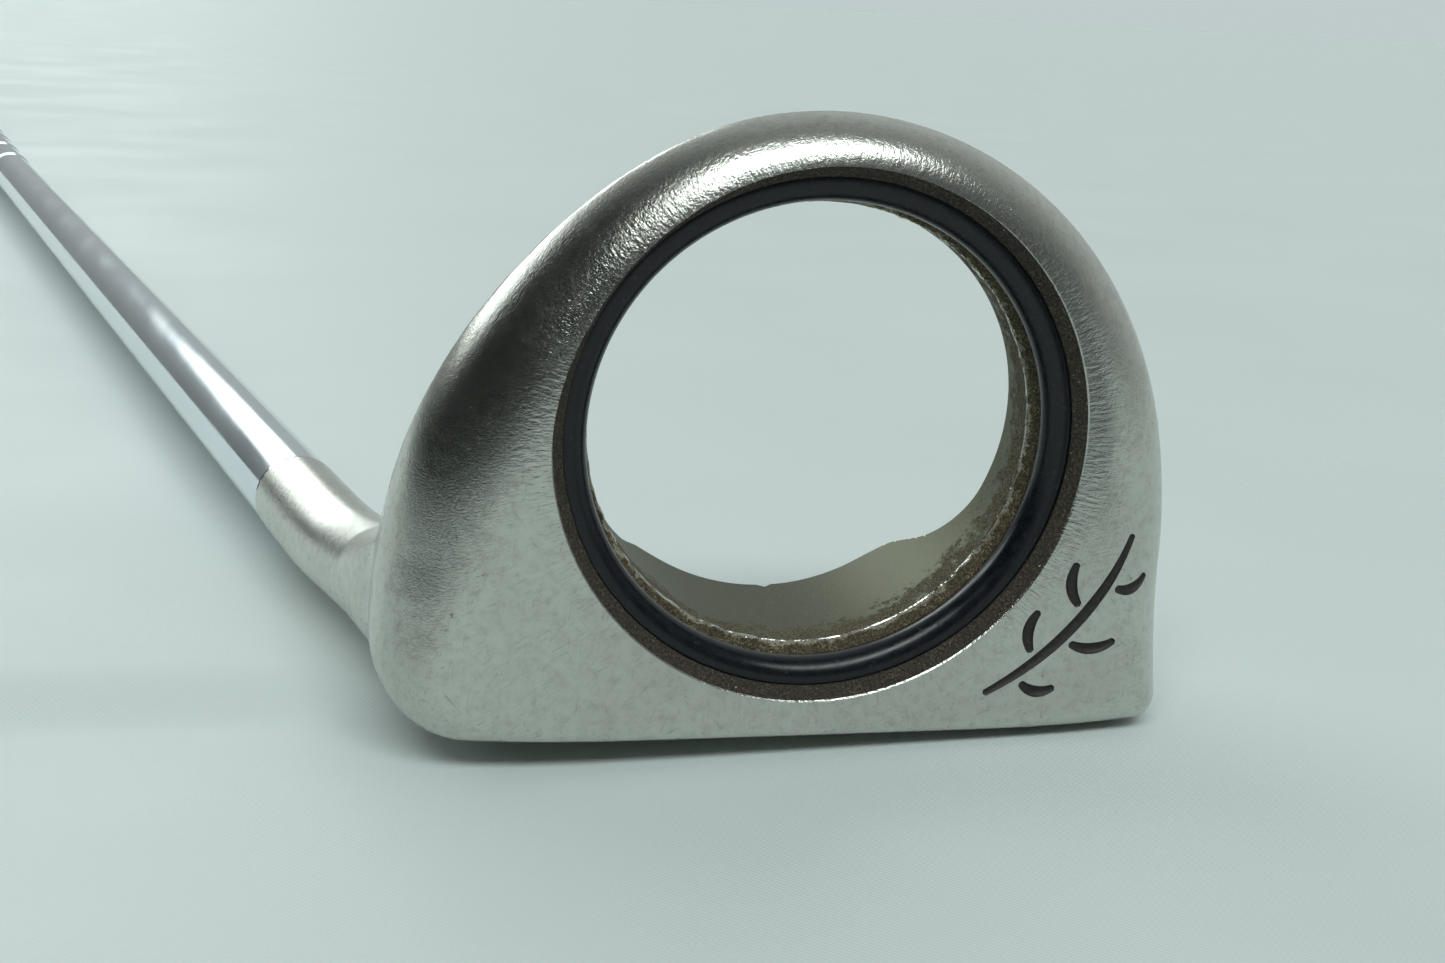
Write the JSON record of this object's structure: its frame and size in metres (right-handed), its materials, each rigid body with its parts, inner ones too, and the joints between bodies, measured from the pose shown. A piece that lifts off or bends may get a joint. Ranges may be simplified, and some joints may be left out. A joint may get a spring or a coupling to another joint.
{
  "type": "golf putter",
  "caption": "Right-handed mallet putter whose head has a rubber-gripped round bore for picking up the ball, on a stepped steel shaft with a rubber grip.",
  "frame": {"origin": "centre of the striking face, which is the face the head lies on in this record", "axes": "+X from heel to toe, +Y from the sole towards the shaft and grip, +Z from the striking face towards the rear of the head; the club lies on its face and the butt of its grip"},
  "size_m": [0.3157, 0.8337, 0.0558],
  "materials": {
    "cast_steel": "worn satin cast stainless steel, fine scratches, small dark pits",
    "ring_rubber": "smooth black nitrile rubber, slightly glossy",
    "shaft_chrome": "bright chrome plate on steel tube",
    "epoxy": "cured epoxy film, hidden",
    "tape": "paper grip tape, hidden",
    "grip_rubber": "matt black rubber with fine ribs"
  },
  "bodies": {
    "root": {"putter_head": "cast_steel", "ball_grip_ring": "ring_rubber", "shaft": "shaft_chrome", "epoxy_bond": "epoxy", "grip_tape": "tape", "putter_grip": "grip_rubber"}
  },
  "joints": []
}
